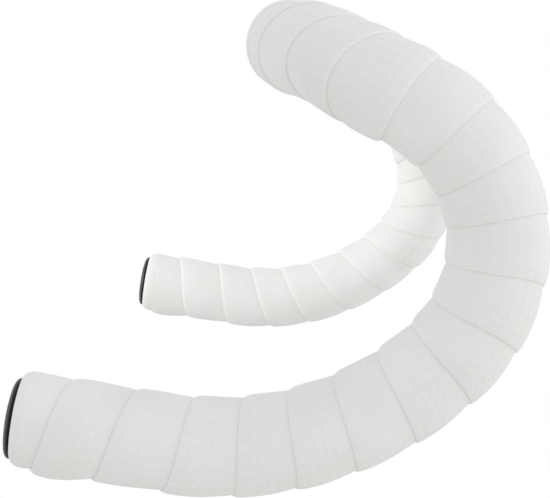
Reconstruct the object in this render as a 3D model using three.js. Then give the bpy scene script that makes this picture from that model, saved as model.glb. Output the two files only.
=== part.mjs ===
// A drop handlebar for a bicycle, wrapped with padded tape on both sides.
//
// The bar is one bent tube. Each side carries a helical wrap of soft tape, wound from the bar's end
// up to the tops, a plug that tucks the tape into the bar's end, and a thin band that holds the
// tape's last turn. X runs along the tops, +Y is forwards and +Z is up. The origin is the middle of
// the clamp zone.

import * as THREE from 'three';
import { mergeVertices } from 'three/addons/utils/BufferGeometryUtils.js';

// Driving dimensions, in millimetres and degrees.

// The bent tube
const BAR_WIDTH = 420; // between the centre lines of the two drops
const BAR_DIAMETER = 23.8;
const BAR_WALL = 2;
const CLAMP_DIAMETER = 31.8;
const CLAMP_LENGTH = 60; // the round middle that a stem closes on
const CLAMP_TAPER = 34; // from the clamp zone down to the bar's own diameter
const CORNER_RADIUS = 40; // where the tops turn forwards
const RAMP_SLOPE = 25.2; // how steeply the bar falls as it leaves the corner
const RAMP_STRAIGHT = 3; // between the corner and the hook
const HOOK_RADIUS = 52;
const HOOK_ANGLE = 110.8;
const DROP_BEND_RADIUS = 107.5;
const DROP_BEND_ANGLE = 53;
const DROP_STRAIGHT = 49; // the straight length at the bar's end

// The padded tape
const TAPE_WIDTH = 30;
const TAPE_THICKNESS = 3.4; // of one layer, pulled tight
const PACKING = 0.5; // how strongly the wrap thickens as its turns lie closer
const EDGE_STEP = 0.9; // how far a turn's exposed edge stands above the turn before it
const TURN_CROWN = 0.35; // how far a turn swells between its edges
const START_LIFT = 1.5; // the first turn lies over the doubled start of the tape
const START_SHARE = 0.62; // how much of the first turn that lifts
const START_SKEW = 0.65; // below 1, the lift is highest near the turn's exposed edge
const GATHER = 0.8; // how much of a bend's shortening the soft tape takes up as crowded turns
const SWELL = 0.15; // how strongly the inside of a bend thickens the wrap
const TOPS_DRAW = 2.7; // how much thinner the tape is pulled along the tops
const DRAW_START = 16; // how far into the corner it starts to thin
const DRAW_LENGTH = 36; // the length in which it thins
const CORNER_PRESS = 1.3; // how much the wrap is pressed in under the corner
const PRESS_START = 10; // how far past the hook that starts
const TOPS_PAD = 1.2; // how much thicker the wrap lies under the tops
const TOPS_PAD_START = 32; // how far past the hook that starts
const CORNER_PAD = 1.2; // how much thicker the wrap lies on top of the corner
const CORNER_PAD_START = 24; // how far past the hook that starts
const CORNER_PAD_END = 42; // how far past the hook it starts to thin again
const SHAPE_LENGTH = 14; // the length in which each of these changes is made
const START_ANGLE = 200; // where the first exposed edge leaves the bar's end
const TAPE_TO_CENTRE = 75; // from the clamp's middle to the end of the tape
const TAPE_ROLL = 3; // how far from the bar's end the wrap starts to round over
const ROLL_DROP = 2.3; // how far the wrap falls as it rounds over
const TAPE_FOLD = 1.3; // the tape folded over the bar's end
const TAPE_TAIL = 22; // the trimmed last turn that the band closes on
const TAIL_BUILD = 2.2; // the trimmed turn's thickness
const TAIL_SLOPE = 4; // the length in which the wrap comes down to the trimmed turn

// How far the wrap climbs in one turn along each length of the bar, on each side
const PITCH_RIGHT = { drop: 21.7, dropBend: 18.9, hook: 16.7, ramp: 16, corner: 15, tops: 19 };
const PITCH_LEFT = { drop: 22, dropBend: 19.4, hook: 17, ramp: 16, corner: 15, tops: 19 };

// The end plugs
const PLUG_RIM_DIAMETER = 26.8;
const PLUG_FACE_DIAMETER = 20.2;
const PLUG_RIM_LENGTH = 0.7;
const PLUG_BEVEL_LENGTH = 1.6;
const PLUG_BEVEL_BULGE = 0.4; // how far the rounded bevel stands out beyond a flat one
const PLUG_CROWN = 0.5;
const PLUG_DEPTH = 18;
const PLUG_WALL = 1.6;
const PLUG_RIBS = 3;
const PLUG_RIB_HEIGHT = 0.9;
const PLUG_WEB = 2; // the thickness of the plug's cap over its hollow shank

// The finishing bands
const BAND_WIDTH = 18;
const BAND_THICKNESS = 0.6;
const BAND_INSET = 2; // from the tape's end to the band

// The gap between two pieces that touch
const SEAT_GAP = 0.3;

// How finely the round forms are divided
const FACETS = 16;
const BEND_STEP = 9; // the angle between two sections of a bend, to the nearest whole number of them
const TAPER_STEPS = 4;
const ROLL_STEPS = 3;
const PLUG_SEGMENTS = 24;
const TURN_STATIONS = [0, 0.25, 0.6]; // shares of a turn's exposed width that have a section
const NEAR_RING = 0.8; // a point of a turn as near an end ring as this is gathered on it
const BEND_SAMPLES = 9; // for the bend's average over half the tape's width
const EDGE_ROUNDS = 6; // for the edge's place in a bend to settle

// Worked out from the driving dimensions
const BAR_RADIUS = BAR_DIAMETER / 2;
const BORE_RADIUS = BAR_RADIUS - BAR_WALL;
const SHANK_RADIUS = BORE_RADIUS - SEAT_GAP;
const TAPE_BORE_RADIUS = BAR_RADIUS + SEAT_GAP;
const TAIL_RADIUS = BAR_RADIUS + TAIL_BUILD;
const rad = THREE.MathUtils.degToRad;

const alloy = new THREE.MeshStandardMaterial({ color: 0x24262a, roughness: 0.42, metalness: 0.7 });
const paddedTape = new THREE.MeshStandardMaterial({ color: 0xe4e3e0, roughness: 0.72, metalness: 0 });
const plugPlastic = new THREE.MeshStandardMaterial({ color: 0x2c2c2c, roughness: 0.5, metalness: 0 });
const bandVinyl = new THREE.MeshStandardMaterial({ color: 0x1c1c1d, roughness: 0.55, metalness: 0 });

// The centre line of the right half of the bar, from the bar's end to the clamp's middle. Each leg
// is straight or an arc that turns the bar upwards and back (in the drop's plane) or inwards.
class BarLine {
  constructor() {
    const tops = BAR_WIDTH / 2 - CORNER_RADIUS;
    this.legs = [
      { name: 'drop', length: DROP_STRAIGHT, up: 0, inward: 0 },
      this.arc('dropBend', DROP_BEND_RADIUS, DROP_BEND_ANGLE),
      this.arc('hook', HOOK_RADIUS, HOOK_ANGLE),
      { name: 'ramp', length: RAMP_STRAIGHT, up: 0, inward: 0 },
      { name: 'corner', length: (Math.PI / 2) * CORNER_RADIUS, up: 0, inward: 1 / CORNER_RADIUS },
      { name: 'tops', length: tops, up: 0, inward: 0 },
    ];
    const heading = rad(180 - RAMP_SLOPE - HOOK_ANGLE - DROP_BEND_ANGLE);
    let frame = {
      point: new THREE.Vector3(),
      along: new THREE.Vector3(0, Math.cos(heading), Math.sin(heading)),
      above: new THREE.Vector3(0, -Math.sin(heading), Math.cos(heading)),
      beside: new THREE.Vector3(1, 0, 0),
    };
    let start = 0;
    for (const leg of this.legs) {
      leg.start = start;
      leg.frame = frame;
      frame = this.walk(leg, leg.length);
      start += leg.length;
    }
    this.length = start;
    const middle = frame.point.clone();
    for (const leg of this.legs) leg.frame.point.sub(middle);
  }

  // An arc that turns upwards.
  arc(name, radius, angle) {
    return { name, length: rad(angle) * radius, up: 1 / radius, inward: 0 };
  }

  // The frame at a distance along one leg.
  walk(leg, distance) {
    const { point, along, above, beside } = leg.frame;
    const curvature = leg.up + leg.inward;
    if (curvature === 0) {
      return { point: point.clone().addScaledVector(along, distance), along, above, beside };
    }
    const towards = leg.up > 0 ? above.clone() : beside.clone().negate();
    const cos = Math.cos(distance * curvature);
    const sin = Math.sin(distance * curvature);
    const turned = along.clone().multiplyScalar(cos).addScaledVector(towards, sin);
    const across = towards.clone().multiplyScalar(cos).addScaledVector(along, -sin);
    const moved = point.clone()
      .addScaledVector(along, sin / curvature)
      .addScaledVector(towards, (1 - cos) / curvature);
    return leg.up > 0
      ? { point: moved, along: turned, above: across, beside }
      : { point: moved, along: turned, above, beside: across.negate() };
  }

  legAt(distance) {
    return this.legs.findLast((leg) => leg.start <= distance) ?? this.legs[0];
  }

  frameAt(distance) {
    const leg = this.legAt(distance);
    return this.walk(leg, distance - leg.start);
  }

  // A point beside the centre line, at an angle from the outer side towards the inside of the hook.
  pointAt(distance, angle, radius) {
    const { point, above, beside } = this.frameAt(distance);
    return point.clone()
      .addScaledVector(beside, radius * Math.cos(angle))
      .addScaledVector(above, radius * Math.sin(angle));
  }

  // A value of the legs, averaged over half the tape's width about a distance.
  average(distance, valueOf) {
    let sum = 0;
    for (let i = 0; i < BEND_SAMPLES; i++) {
      const offset = (TAPE_WIDTH / 2) * (i / (BEND_SAMPLES - 1) - 0.5);
      sum += valueOf(this.legAt(distance + offset));
    }
    return sum / BEND_SAMPLES;
  }

  // How much longer (above 1) or shorter (below 1) the wrap's surface is than the centre line at
  // this angle.
  stretchAt(distance, angle) {
    const surface = BAR_RADIUS + TAPE_THICKNESS / 2;
    const across = (leg) => leg.up * Math.sin(angle) - leg.inward * Math.cos(angle);
    return 1 - surface * this.average(distance, across);
  }

  // The distances between two ends at which a section is needed.
  stations(from, to) {
    const found = new Set([from, to]);
    for (const leg of this.legs) {
      const bend = leg.length * (leg.up + leg.inward);
      const steps = Math.max(1, Math.round(bend / rad(BEND_STEP)));
      for (let i = 0; i <= steps; i++) {
        const distance = leg.start + leg.length * i / steps;
        if (distance > from && distance < to) found.add(distance);
      }
    }
    return [...found].sort((a, b) => a - b);
  }
}

const line = new BarLine();
const angleOf = (column) => (2 * Math.PI * column) / FACETS;

// One round section of the bar or of what is on it.
function ring(distance, radius) {
  return Array.from({ length: FACETS }, (_, k) => line.pointAt(distance, angleOf(k), radius));
}

// A closed body from points and triangles, turned so that its faces point outwards.
function closedBody(points, triangles) {
  let volume = 0;
  for (const [a, b, c] of triangles) {
    volume += points[a].dot(new THREE.Vector3().crossVectors(points[b], points[c]));
  }
  const faces = volume > 0 ? triangles : triangles.map(([a, b, c]) => [a, c, b]);
  const geometry = new THREE.BufferGeometry();
  const places = points.flatMap((point) => point.toArray());
  geometry.setAttribute('position', new THREE.Float32BufferAttribute(places, 3));
  geometry.setIndex(faces.flat());
  const body = mergeVertices(geometry);
  body.computeVertexNormals();
  return body;
}

// Collects points and faces. A face with a repeated corner is left out.
class Skin {
  constructor() {
    this.points = [];
    this.triangles = [];
  }

  addRing(ringPoints) {
    const first = this.points.length;
    this.points.push(...ringPoints);
    return ringPoints.map((_, k) => first + k);
  }

  addQuad(a, b, c, d) {
    for (const triangle of [[a, b, c], [a, c, d]]) {
      if (new Set(triangle).size === 3) this.triangles.push(triangle);
    }
  }

  bridge(lower, upper) {
    for (let k = 0; k < lower.length; k++) {
      const next = (k + 1) % lower.length;
      this.addQuad(lower[k], lower[next], upper[next], upper[k]);
    }
  }

  bridgeAll(rings) {
    for (let i = 1; i < rings.length; i++) this.bridge(rings[i - 1], rings[i]);
  }
}

// A pipe whose sections run round: out along one list of rings, and back along the other.
function pipe(outerRings, innerRings) {
  const skin = new Skin();
  const loop = [...outerRings, ...innerRings.toReversed()].map((points) => skin.addRing(points));
  skin.bridgeAll([...loop, loop[0]]);
  return closedBody(skin.points, skin.triangles);
}

const mirrored = (point) => new THREE.Vector3(-point.x, point.y, point.z);

// The bar's outer radius at a distance from the clamp's middle.
function barRadiusAt(fromMiddle) {
  const share = THREE.MathUtils.clamp((fromMiddle - CLAMP_LENGTH / 2) / CLAMP_TAPER, 0, 1);
  const ease = (1 - Math.cos(Math.PI * share)) / 2;
  return THREE.MathUtils.lerp(CLAMP_DIAMETER / 2, BAR_RADIUS, ease);
}

function handlebarTube() {
  const taperStart = line.length - CLAMP_LENGTH / 2 - CLAMP_TAPER;
  const distances = line.stations(0, taperStart);
  for (let i = 1; i <= TAPER_STEPS; i++) distances.push(taperStart + CLAMP_TAPER * i / TAPER_STEPS);
  const fullLength = (inset) => {
    const right = distances.map((d) => ring(d, barRadiusAt(line.length - d) - inset));
    const left = right.map((points) => points.map(mirrored));
    return [...right, ...left.toReversed()];
  };
  return pipe(fullLength(0), fullLength(BAR_WALL));
}

// The helical wrap of one side, wound from the bar's end towards the middle.
class Wrap {
  constructor(pitches) {
    this.pitches = pitches;
    this.end = line.length - TAPE_TO_CENTRE;
    this.low = TAPE_ROLL;
    this.high = this.end - TAPE_TAIL - TAIL_SLOPE;
    this.knots = [];
    let turn = rad(START_ANGLE) - 2 * Math.PI;
    for (const leg of line.legs) {
      const pitch = pitches[leg.name];
      this.knots.push({ turn, distance: leg.start, pitch });
      turn += 2 * Math.PI * leg.length / pitch;
    }
    this.lastTurn = turn;
  }

  // Where the exposed edge is after turning this far, if the tape lay on a straight bar.
  straightEdge(turn) {
    const knot = this.knots.findLast((k) => k.turn <= turn) ?? this.knots[0];
    return knot.distance + (turn - knot.turn) * knot.pitch / (2 * Math.PI);
  }

  // Where the exposed edge is. The edge lies half a tape's width from the tape's middle, so it
  // crowds together on the inside of a bend and spreads on the outside.
  edge(turn) {
    const base = this.straightEdge(turn);
    let distance = base;
    for (let i = 0; i < EDGE_ROUNDS; i++) {
      distance = base - GATHER * (TAPE_WIDTH / 2) * (1 / line.stretchAt(distance, turn) - 1);
    }
    return distance;
  }

  // The wrap's radius in a turn, at a share of the way from its exposed edge to the next one.
  radiusIn(turn, share) {
    const distance = THREE.MathUtils.lerp(this.edge(turn), this.edge(turn + 2 * Math.PI), share);
    const layers = TAPE_WIDTH / line.average(distance, (leg) => this.pitches[leg.name]);
    const build = TAPE_THICKNESS * layers ** PACKING * line.stretchAt(distance, turn) ** -SWELL;
    const step = EDGE_STEP * (0.5 - share) + TURN_CROWN * Math.sin(Math.PI * share);
    const shape = this.startLift(turn, share) + this.handShape(distance, turn);
    return BAR_RADIUS + build + step + shape - this.topsDraw(distance);
  }

  // The doubled start of the tape lies under part of the first turn.
  startLift(turn, share) {
    const progress = (turn - this.knots[0].turn) / (2 * Math.PI) / START_SHARE;
    if (progress <= 0 || progress >= 1) return 0;
    return START_LIFT * Math.sin(Math.PI * share ** START_SKEW) * Math.sin(Math.PI * progress);
  }

  // The tape is pulled tighter from the corner on.
  topsDraw(distance) {
    const corner = line.legs.find((leg) => leg.name === 'corner');
    const start = corner.start + DRAW_START;
    return TOPS_DRAW * THREE.MathUtils.smoothstep(distance, start, start + DRAW_LENGTH);
  }

  // The wrap lies thick on top of the corner, is pressed in under it, and is thick again under the
  // tops.
  handShape(distance, turn) {
    const pastHook = distance - line.legs.find((leg) => leg.name === 'ramp').start;
    const rise = (from) => THREE.MathUtils.smoothstep(pastHook, from, from + SHAPE_LENGTH);
    const above = CORNER_PAD * (rise(CORNER_PAD_START) - rise(CORNER_PAD_END));
    const below = (CORNER_PRESS + TOPS_PAD) * rise(TOPS_PAD_START) - CORNER_PRESS * rise(PRESS_START);
    return (Math.sin(turn) < 0 ? above : below) * Math.sin(turn) ** 2;
  }

  // The wrap's radius at a distance, on the line of one column.
  radiusAt(column, distance) {
    let turn = angleOf(column) - 4 * Math.PI;
    while (this.edge(turn + 2 * Math.PI) <= distance) turn += 2 * Math.PI;
    const from = this.edge(turn);
    return this.radiusIn(turn, (distance - from) / (this.edge(turn + 2 * Math.PI) - from));
  }

  // A ring that follows the wrap's surface.
  rimRing(distance) {
    const pointOf = (k) => line.pointAt(distance, angleOf(k), this.radiusAt(k, distance));
    return Array.from({ length: FACETS }, (_, k) => pointOf(k));
  }

  // The turns between the rings at both ends. Each column of points follows one turn across the
  // tape's exposed width, and what would pass a ring is gathered on it.
  addTurns(skin, lowRing, highRing) {
    const known = new Map();
    const rows = TURN_STATIONS.length + 1; // the foot of the step, and the stations above it
    const vertex = (column, row) => {
      if (row === rows) return vertex(column + FACETS, 0);
      const key = `${column},${row}`;
      if (known.has(key)) return known.get(key);
      const turn = angleOf(column);
      const share = row === 0 ? 0 : TURN_STATIONS[row - 1];
      const distance = THREE.MathUtils.lerp(this.edge(turn), this.edge(turn + 2 * Math.PI), share);
      const radius = row === 0 ? this.radiusIn(turn - 2 * Math.PI, 1) : this.radiusIn(turn, share);
      const k = ((column % FACETS) + FACETS) % FACETS;
      let index;
      if (distance < this.low + NEAR_RING) index = lowRing[k];
      else if (distance > this.high - NEAR_RING) index = highRing[k];
      else index = skin.points.push(line.pointAt(distance, turn, radius)) - 1;
      known.set(key, index);
      return index;
    };
    const first = -2 * FACETS; // a whole turn or more below the bar's end
    const last = Math.ceil(this.lastTurn / angleOf(1)) + FACETS;
    for (let column = first; column < last; column++) {
      const next = column + 1;
      for (let row = 0; row < rows; row++) {
        const lower = [vertex(column, row), vertex(next, row)];
        const upper = [vertex(next, row + 1), vertex(column, row + 1)];
        skin.addQuad(...lower, ...upper);
      }
    }
  }

  // The wrap rounds over the bar's end, where the plug holds the tape's folded start.
  rollRings() {
    const rings = [];
    const drop = this.low + TAPE_FOLD;
    for (let i = ROLL_STEPS; i > 0; i--) {
      const angle = (Math.PI / 2) * (i / ROLL_STEPS);
      const distance = this.low - drop * Math.sin(angle);
      rings.push(Array.from({ length: FACETS }, (_, k) => {
        const radius = this.radiusAt(k, this.low) - ROLL_DROP * (1 - Math.cos(angle));
        return line.pointAt(distance, angleOf(k), radius);
      }));
    }
    return rings;
  }

  geometry(isLeft) {
    const skin = new Skin();
    const addRings = (distances, radius) => distances.map((d) => skin.addRing(ring(d, radius)));
    const roll = this.rollRings().map((points) => skin.addRing(points));
    const lowRing = skin.addRing(this.rimRing(this.low));
    const highRing = skin.addRing(this.rimRing(this.high));
    this.addTurns(skin, lowRing, highRing);
    const tail = addRings([this.high + TAIL_SLOPE, this.end], TAIL_RADIUS);
    const bore = addRings(line.stations(-SEAT_GAP, this.end).toReversed(), TAPE_BORE_RADIUS);
    const lip = addRings([-SEAT_GAP, -TAPE_FOLD], SHANK_RADIUS + SEAT_GAP);
    skin.bridgeAll([highRing, ...tail, ...bore, ...lip, ...roll, lowRing]);
    const points = isLeft ? skin.points.map(mirrored) : skin.points;
    return closedBody(points, skin.triangles);
  }
}

// A plug with a bevelled cap, and a hollow ribbed shank that goes into the bar. Its axis is Y, with
// the cap upwards and the bar's end at zero.
function endPlugGeometry() {
  const capFoot = TAPE_FOLD + SEAT_GAP;
  const rimTop = capFoot + PLUG_RIM_LENGTH;
  const faceTop = rimTop + PLUG_BEVEL_LENGTH;
  const bevelMiddle = (PLUG_RIM_DIAMETER + PLUG_FACE_DIAMETER) / 4;
  const core = SHANK_RADIUS - PLUG_RIB_HEIGHT;
  const hollow = core - PLUG_WALL;
  const outline = [
    [0, faceTop + PLUG_CROWN],
    [PLUG_FACE_DIAMETER / 4, faceTop + PLUG_CROWN * 0.75],
    [PLUG_FACE_DIAMETER / 2, faceTop],
    [bevelMiddle + PLUG_BEVEL_BULGE, (faceTop + rimTop) / 2 + PLUG_BEVEL_BULGE],
    [PLUG_RIM_DIAMETER / 2, rimTop],
    [PLUG_RIM_DIAMETER / 2, capFoot],
    [core, capFoot],
  ];
  const ribPitch = PLUG_DEPTH / (PLUG_RIBS + 1);
  for (let i = 0; i < PLUG_RIBS; i++) {
    const top = -ribPitch * (i + 0.5);
    outline.push([core, top], [SHANK_RADIUS, top], [core, top - ribPitch / 2]);
  }
  const roof = faceTop - PLUG_WEB;
  outline.push([core, -PLUG_DEPTH], [hollow, -PLUG_DEPTH], [hollow, roof], [0, roof]);
  const profile = outline.map(([radius, height]) => new THREE.Vector2(radius, height));
  const turned = new THREE.LatheGeometry(profile, PLUG_SEGMENTS);
  turned.deleteAttribute('normal');
  turned.deleteAttribute('uv');
  const merged = mergeVertices(turned);
  const places = merged.getAttribute('position');
  const pointOf = (i) => new THREE.Vector3().fromBufferAttribute(places, i);
  const points = Array.from({ length: places.count }, (_, i) => pointOf(i));
  const index = Array.from(merged.getIndex().array);
  const triangles = [];
  for (let i = 0; i < index.length; i += 3) {
    const triangle = index.slice(i, i + 3);
    if (new Set(triangle).size === 3) triangles.push(triangle);
  }
  return closedBody(points, triangles);
}

function endPlug(name, isLeft) {
  const mesh = new THREE.Mesh(endPlugGeometry(), plugPlastic);
  const { point, along } = line.frameAt(0);
  mesh.name = name;
  mesh.position.copy(isLeft ? mirrored(point) : point);
  mesh.quaternion.setFromUnitVectors(new THREE.Vector3(0, 1, 0), along.clone().negate());
  return mesh;
}

function finishingBand(name, isLeft) {
  const end = line.length - TAPE_TO_CENTRE - BAND_INSET;
  const distances = [end - BAND_WIDTH, end];
  const onSide = (points) => (isLeft ? points.map(mirrored) : points);
  const rings = (radius) => distances.map((d) => onSide(ring(d, radius)));
  const inner = TAIL_RADIUS + SEAT_GAP;
  const mesh = new THREE.Mesh(pipe(rings(inner + BAND_THICKNESS), rings(inner)), bandVinyl);
  mesh.name = name;
  return mesh;
}

function tube() {
  const mesh = new THREE.Mesh(handlebarTube(), alloy);
  mesh.name = 'handlebar_tube';
  return mesh;
}

function tape(name, pitches, isLeft) {
  const mesh = new THREE.Mesh(new Wrap(pitches).geometry(isLeft), paddedTape);
  mesh.name = name;
  return mesh;
}

const handlebar = new THREE.Group();
handlebar.add(
  tube(),
  tape('tape_right', PITCH_RIGHT, false),
  tape('tape_left', PITCH_LEFT, true),
  endPlug('end_plug_right', false),
  endPlug('end_plug_left', true),
  finishingBand('finishing_tape_right', false),
  finishingBand('finishing_tape_left', true),
);

export default handlebar;
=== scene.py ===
"""A road bicycle's drop handlebar, wound with white padded tape.

The bar is one bent tube. On each side a strip of soft tape winds from the bar's end up to the tops,
an end plug holds the tape's folded start, and a thin band holds its last turn. The tape is wound in
code. The tube, the plugs and the bands are modelled with operators.

Lengths are in metres. X runs along the tops to the rider's right, +Y is forwards and +Z is up. The
origin is the middle of the clamp zone.
"""

import logging
import math
from contextlib import contextmanager
from dataclasses import dataclass, field
from enum import Enum
from typing import Callable, Iterator, NamedTuple, Sequence, Union

import bmesh
import bpy
import numpy as np
from mathutils import Matrix, Vector

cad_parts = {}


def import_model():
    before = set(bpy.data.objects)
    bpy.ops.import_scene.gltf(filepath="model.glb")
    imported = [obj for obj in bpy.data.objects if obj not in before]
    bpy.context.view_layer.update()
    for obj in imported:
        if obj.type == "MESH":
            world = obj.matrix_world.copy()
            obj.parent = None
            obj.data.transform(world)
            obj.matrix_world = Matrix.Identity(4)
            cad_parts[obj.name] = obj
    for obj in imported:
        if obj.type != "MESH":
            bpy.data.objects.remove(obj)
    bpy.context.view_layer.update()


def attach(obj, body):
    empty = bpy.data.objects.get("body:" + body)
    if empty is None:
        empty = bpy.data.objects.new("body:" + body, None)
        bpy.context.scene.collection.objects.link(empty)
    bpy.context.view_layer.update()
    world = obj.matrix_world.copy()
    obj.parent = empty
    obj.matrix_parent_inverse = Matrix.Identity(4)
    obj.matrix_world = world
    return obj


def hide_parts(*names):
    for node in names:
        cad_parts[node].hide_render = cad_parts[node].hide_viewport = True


LOG = logging.getLogger("handlebar")
MM = 0.001
FULL_TURN = 2 * math.pi
BODY = "root"
Socket = Union[bpy.types.NodeSocket, float, Sequence[float]]


class Side(Enum):
    """A side of the bar, with the sign of X on it."""

    RIGHT = 1
    LEFT = -1

    @property
    def word(self) -> str:
        """The side's name as the nodes have it."""
        return self.name.lower()


class Leg(Enum):
    """The lengths that the bar's centre line is made of, from the bar's end upwards."""

    DROP = 0
    DROP_BEND = 1
    HOOK = 2
    RAMP = 3
    CORNER = 4
    TOPS = 5


class Frames(NamedTuple):
    """Places on the centre line and three directions there, one row for each distance."""

    point: np.ndarray
    along: np.ndarray
    above: np.ndarray
    beside: np.ndarray


@dataclass(frozen=True)
class BarSizes:
    """The bent tube's own sizes."""

    width: float = 420 * MM
    radius: float = 11.9 * MM
    wall: float = 2 * MM
    clamp_radius: float = 15.9 * MM
    clamp_length: float = 60 * MM
    clamp_taper: float = 34 * MM
    corner_radius: float = 40 * MM
    ramp_slope: float = math.radians(25.2)
    ramp_straight: float = 3 * MM
    hook_radius: float = 52 * MM
    hook_angle: float = math.radians(110.8)
    drop_bend_radius: float = 107.5 * MM
    drop_bend_angle: float = math.radians(53)
    drop_straight: float = 49 * MM


class BarLine:
    """The centre line of the bar's right half, from the bar's end to the clamp's middle."""

    def __init__(self, sizes: BarSizes) -> None:
        """Lays the legs end to end.

        Args:
            sizes: The bar's sizes.
        """
        self.sizes = sizes
        drop_arc = sizes.drop_bend_angle * sizes.drop_bend_radius
        hook_arc = sizes.hook_angle * sizes.hook_radius
        corner_arc = math.pi / 2 * sizes.corner_radius
        tops = sizes.width / 2 - sizes.corner_radius
        self.lengths = np.array(
            [sizes.drop_straight, drop_arc, hook_arc, sizes.ramp_straight, corner_arc, tops]
        )
        self.up = np.array([0, 1 / sizes.drop_bend_radius, 1 / sizes.hook_radius, 0, 0, 0])
        self.inward = np.array([0, 0, 0, 0, 1 / sizes.corner_radius, 0])
        self.starts = np.concatenate([[0], np.cumsum(self.lengths)[:-1]])
        self.length = float(self.lengths.sum())
        heading = math.pi - sizes.ramp_slope - sizes.hook_angle - sizes.drop_bend_angle
        base = Frames(
            np.zeros((1, 3)),
            np.array([[0, math.cos(heading), math.sin(heading)]]),
            np.array([[0, -math.sin(heading), math.cos(heading)]]),
            np.array([[1.0, 0, 0]]),
        )
        bases = []
        for leg in Leg:
            bases.append(base)
            base = self._walk(leg.value, base, self.lengths[leg.value : leg.value + 1])
        self.bases = [b._replace(point=b.point - base.point) for b in bases]

    def _walk(self, leg: int, base: Frames, distances: np.ndarray) -> Frames:
        """Frames along one leg.

        Args:
            leg: The leg's number.
            base: The frame at the leg's start.
            distances: How far along the leg each frame is.

        Returns:
            The frames.
        """
        d = distances[:, None]
        flat = np.ones_like(d)
        bend = self.up[leg] + self.inward[leg]
        if bend == 0:
            moved = base.point + d * base.along
            return Frames(moved, base.along * flat, base.above * flat, base.beside * flat)
        rises = self.up[leg] > 0
        towards = base.above if rises else -base.beside
        cos, sin = np.cos(d * bend), np.sin(d * bend)
        turned = cos * base.along + sin * towards
        across = cos * towards - sin * base.along
        moved = base.point + (sin * base.along + (1 - cos) * towards) / bend
        if rises:
            return Frames(moved, turned, across, base.beside * flat)
        return Frames(moved, turned, base.above * flat, -across)

    def leg_at(self, distances: np.ndarray) -> np.ndarray:
        """The number of the leg at each distance."""
        return np.clip(np.searchsorted(self.starts, distances, side="right") - 1, 0, None)

    def frames(self, distances: np.ndarray) -> Frames:
        """The frames at distances from the bar's end."""
        legs = self.leg_at(distances)
        whole = Frames(*(np.empty((len(distances), 3)) for _ in range(4)))
        for leg in Leg:
            here = legs == leg.value
            if here.any():
                start = self.starts[leg.value]
                part = self._walk(leg.value, self.bases[leg.value], distances[here] - start)
                for into, values in zip(whole, part):
                    into[here] = values
        return whole

    def points(self, distances: np.ndarray, angles: np.ndarray, radii: np.ndarray) -> np.ndarray:
        """Points beside the centre line.

        Args:
            distances: How far from the bar's end each point is.
            angles: From the outer side towards the inside of the hook.
            radii: From the centre line.

        Returns:
            One point in each row.
        """
        at = self.frames(distances)
        side = np.cos(angles)[:, None] * at.beside + np.sin(angles)[:, None] * at.above
        return at.point + radii[:, None] * side

    def average(self, distances: np.ndarray, values: np.ndarray, span: float) -> np.ndarray:
        """A value of the legs, averaged over a span about each distance."""
        offsets = np.linspace(-span / 2, span / 2, 41)
        return values[self.leg_at(distances[..., None] + offsets)].mean(axis=-1)


# Modelling with operators


def deselect_all() -> None:
    """Leaves nothing selected."""
    for thing in list(bpy.context.selected_objects):
        thing.select_set(False)


def take(*things: bpy.types.Object) -> None:
    """Selects these objects alone, the first one active."""
    deselect_all()
    for thing in things:
        thing.select_set(True)
    bpy.context.view_layer.objects.active = things[0]


@contextmanager
def editing(piece: bpy.types.Object) -> Iterator[None]:
    """Edit mode on one piece."""
    take(piece)
    bpy.ops.object.mode_set(mode="EDIT")
    yield
    bpy.ops.object.mode_set(mode="OBJECT")


def pick_faces(piece: bpy.types.Object, wanted: Callable[[bmesh.types.BMFace], bool]) -> None:
    """Selects the faces that pass a test, in edit mode."""
    bpy.ops.mesh.select_mode(type="FACE")
    bpy.ops.mesh.select_all(action="DESELECT")
    mesh = bmesh.from_edit_mesh(piece.data)
    for face in mesh.faces:
        face.select_set(bool(wanted(face)))
    bmesh.update_edit_mesh(piece.data)


def extrude(move: Sequence[float]) -> None:
    """Extrudes what is selected by a vector."""
    bpy.ops.mesh.extrude_region_move(TRANSFORM_OT_translate={"value": tuple(move)})


def extrude_cap(rise: float, scale: float) -> None:
    """Extrudes the selected cap along Z, and widens or narrows it about the axis."""
    extrude((0, 0, rise))
    if scale != 1:
        bpy.ops.transform.resize(value=(scale, scale, 1))


def apply_modifier(piece: bpy.types.Object, kind: str, **settings: object) -> None:
    """Adds a modifier to a piece and applies it.

    Args:
        piece: The piece.
        kind: The modifier's type.
        settings: The modifier's properties.
    """
    take(piece)
    modifier = piece.modifiers.new(kind.lower(), kind)
    for name, value in settings.items():
        setattr(modifier, name, value)
    bpy.ops.object.modifier_apply(modifier=modifier.name)


def settle(piece: bpy.types.Object, name: str, smooth_angle: float) -> bpy.types.Object:
    """Puts a piece's place into its mesh, names it and smooths its round faces.

    Args:
        piece: The piece.
        name: Its name.
        smooth_angle: Edges sharper than this stay sharp.

    Returns:
        The piece.
    """
    take(piece)
    bpy.ops.object.transform_apply(location=True, rotation=True, scale=True)
    bpy.ops.object.shade_smooth_by_angle(angle=smooth_angle)
    piece.name = name
    piece.data.name = name
    deselect_all()
    return piece


def place(piece: bpy.types.Object, point: np.ndarray, axis: np.ndarray) -> None:
    """Moves a piece to a point, with its Z axis turned to a direction."""
    turn = Vector((0, 0, 1)).rotation_difference(Vector(axis))
    piece.matrix_world = Matrix.Translation(Vector(point)) @ turn.to_matrix().to_4x4()


def dress(piece: bpy.types.Object, material: bpy.types.Material, node: str) -> None:
    """Gives a finished piece its material, hides the node that it stands for, and hangs it on the
    bar's body.

    Args:
        piece: The piece.
        material: Its material.
        node: The node that it replaces.
    """
    piece.data.materials.clear()
    piece.data.materials.append(material)
    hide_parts(node)
    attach(piece, BODY)


# Materials


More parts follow.
